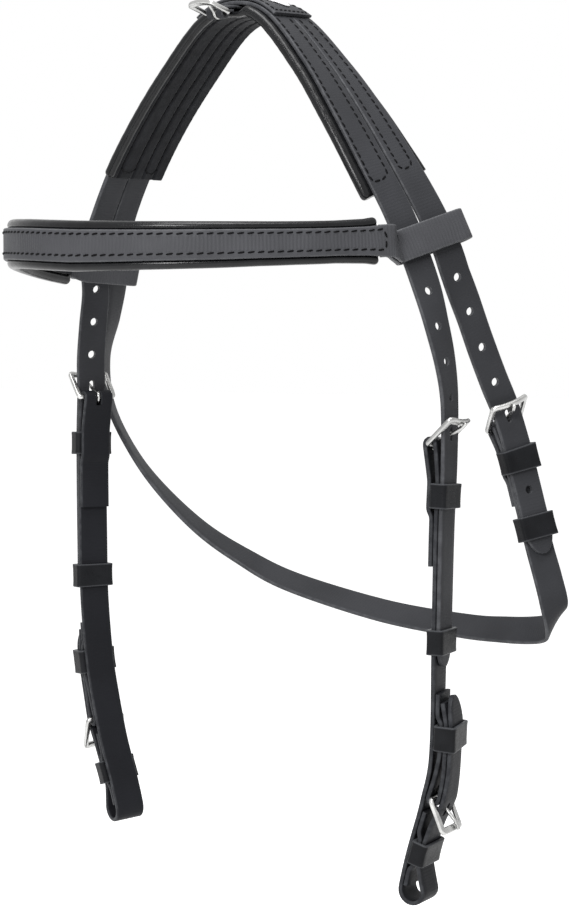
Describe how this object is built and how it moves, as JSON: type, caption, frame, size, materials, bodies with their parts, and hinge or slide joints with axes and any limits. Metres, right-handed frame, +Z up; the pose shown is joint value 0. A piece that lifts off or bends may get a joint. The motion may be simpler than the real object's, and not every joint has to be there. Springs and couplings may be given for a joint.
{
  "type": "hackamore bridle",
  "caption": "Black padded English headstall for a hackamore: padded crown and browband, buckled cheekpieces ending in ring loops, and a buckled throatlatch.",
  "frame": {"origin": "where the middle of the padded crown rests on the horse's poll", "axes": "+Z up, the horse faces -Y, +X towards the horse's left (near) side"},
  "size_m": [0.2681, 0.2065, 0.449],
  "materials": {
    "strap": "matt ribbed bridle strap",
    "padding": "soft rolled cover",
    "lining": "soft stitched lining",
    "foam": "closed-cell foam",
    "badge": "bare white oval",
    "steel": "satin stainless"
  },
  "bodies": {
    "headstall": {"headpiece_front_strap": "strap", "headpiece_rear_strap": "strap", "poll_pad_lining": "lining", "poll_pad_foam": "foam", "poll_pad_cover": "padding", "crown_overlay": "strap", "crown_badge": "badge", "crown_buckle_chape": "strap", "browband_strap": "strap", "browband_pad_cover": "padding", "browband_pad_foam": "foam", "browband_pad_lining": "lining", "throatlatch_fixed_keeper": "strap", "near_cheek_strap": "strap", "near_cheek_fixed_keeper": "strap", "near_bit_buckle_chape": "strap", "near_bit_upper_keeper": "strap", "near_bit_lower_keeper": "strap", "near_loop_patch": "strap", "off_cheek_strap": "strap", "off_cheek_fixed_keeper": "strap", "off_bit_buckle_chape": "strap", "off_bit_upper_keeper": "strap", "off_bit_lower_keeper": "strap", "off_loop_patch": "strap"},
    "near_cheek_buckle_frame": {"near_cheek_buckle_frame": "steel"},
    "near_cheek_buckle_tongue": {"near_cheek_buckle_tongue": "steel"},
    "near_bit_buckle_frame": {"near_bit_buckle_frame": "steel"},
    "near_bit_buckle_tongue": {"near_bit_buckle_tongue": "steel"},
    "off_cheek_buckle_frame": {"off_cheek_buckle_frame": "steel"},
    "off_cheek_buckle_tongue": {"off_cheek_buckle_tongue": "steel"},
    "off_bit_buckle_frame": {"off_bit_buckle_frame": "steel"},
    "off_bit_buckle_tongue": {"off_bit_buckle_tongue": "steel"},
    "throatlatch_buckle_frame": {"throatlatch_buckle_frame": "steel"},
    "throatlatch_buckle_tongue": {"throatlatch_buckle_tongue": "steel"},
    "crown_buckle_frame": {"crown_buckle_frame": "steel"},
    "crown_buckle_tongue": {"crown_buckle_tongue": "steel"},
    "near_cheek_loose_keeper": {"near_cheek_loose_keeper": "strap"},
    "off_cheek_loose_keeper": {"off_cheek_loose_keeper": "strap"},
    "throatlatch_loose_keeper": {"throatlatch_loose_keeper": "strap"}
  },
  "joints": [
    {"name": "near_cheek_buckle_rock", "type": "hinge", "parent": "headstall", "child": "near_cheek_buckle_frame", "pos_m": [0.10626, 0.00577, -0.21025], "axis": [-0.1275, 0.9903, -0.0556], "range_deg": [-4, 8]},
    {"name": "near_cheek_buckle_tongue_lift", "type": "hinge", "parent": "near_cheek_buckle_frame", "child": "near_cheek_buckle_tongue", "pos_m": [0.10626, 0.00577, -0.21025], "axis": [-0.1275, 0.9903, -0.0556], "range_deg": [0, 6]},
    {"name": "near_bit_buckle_rock", "type": "hinge", "parent": "headstall", "child": "near_bit_buckle_frame", "pos_m": [0.10646, 0.00896, -0.38256], "axis": [0.1504, -0.9878, -0.0401], "range_deg": [-4, 10]},
    {"name": "near_bit_buckle_tongue_lift", "type": "hinge", "parent": "near_bit_buckle_frame", "child": "near_bit_buckle_tongue", "pos_m": [0.10646, 0.00896, -0.38256], "axis": [0.1504, -0.9878, -0.0401], "range_deg": [0, 8]},
    {"name": "off_cheek_buckle_rock", "type": "hinge", "parent": "headstall", "child": "off_cheek_buckle_frame", "pos_m": [-0.10675, 0.00349, -0.19057], "axis": [-0.4239, -0.9057, 0.0017], "range_deg": [-4, 8]},
    {"name": "off_cheek_buckle_tongue_lift", "type": "hinge", "parent": "off_cheek_buckle_frame", "child": "off_cheek_buckle_tongue", "pos_m": [-0.10675, 0.00349, -0.19057], "axis": [-0.4239, -0.9057, 0.0017], "range_deg": [0, 6]},
    {"name": "off_bit_buckle_rock", "type": "hinge", "parent": "headstall", "child": "off_bit_buckle_frame", "pos_m": [-0.10672, 0.00958, -0.3627], "axis": [0.416, 0.9036, 0.1024], "range_deg": [-4, 10]},
    {"name": "off_bit_buckle_tongue_lift", "type": "hinge", "parent": "off_bit_buckle_frame", "child": "off_bit_buckle_tongue", "pos_m": [-0.10672, 0.00958, -0.3627], "axis": [0.416, 0.9036, 0.1024], "range_deg": [0, 8]},
    {"name": "throatlatch_buckle_rock", "type": "hinge", "parent": "headstall", "child": "throatlatch_buckle_frame", "pos_m": [0.11194, 0.05849, -0.20284], "axis": [0.3889, 0.8684, 0.3075], "range_deg": [-3, 8]},
    {"name": "throatlatch_buckle_tongue_lift", "type": "hinge", "parent": "throatlatch_buckle_frame", "child": "throatlatch_buckle_tongue", "pos_m": [0.11194, 0.05849, -0.20284], "axis": [0.3889, 0.8684, 0.3075], "range_deg": [0, 6]},
    {"name": "crown_buckle_rock", "type": "hinge", "parent": "headstall", "child": "crown_buckle_frame", "pos_m": [-0.002, -0.027, 0.002], "axis": [-1, 0, 0], "range_deg": [-20, 40]},
    {"name": "crown_buckle_tongue_lift", "type": "hinge", "parent": "crown_buckle_frame", "child": "crown_buckle_tongue", "pos_m": [-0.002, -0.027, 0.002], "axis": [-1, 0, 0], "range_deg": [0, 35]},
    {"name": "near_cheek_loose_keeper_slide", "type": "slide", "parent": "headstall", "child": "near_cheek_loose_keeper", "axis": [0.0208, -0.0029, 0.9998], "range_m": [-0.012, 0.024]},
    {"name": "off_cheek_loose_keeper_slide", "type": "slide", "parent": "headstall", "child": "off_cheek_loose_keeper", "axis": [-0.0186, -0.0041, 0.9998], "range_m": [-0.012, 0.024]},
    {"name": "throatlatch_loose_keeper_slide", "type": "slide", "parent": "headstall", "child": "throatlatch_loose_keeper", "axis": [-0.2419, -0.0856, 0.9665], "range_m": [-0.025, 0.004]}
  ]
}
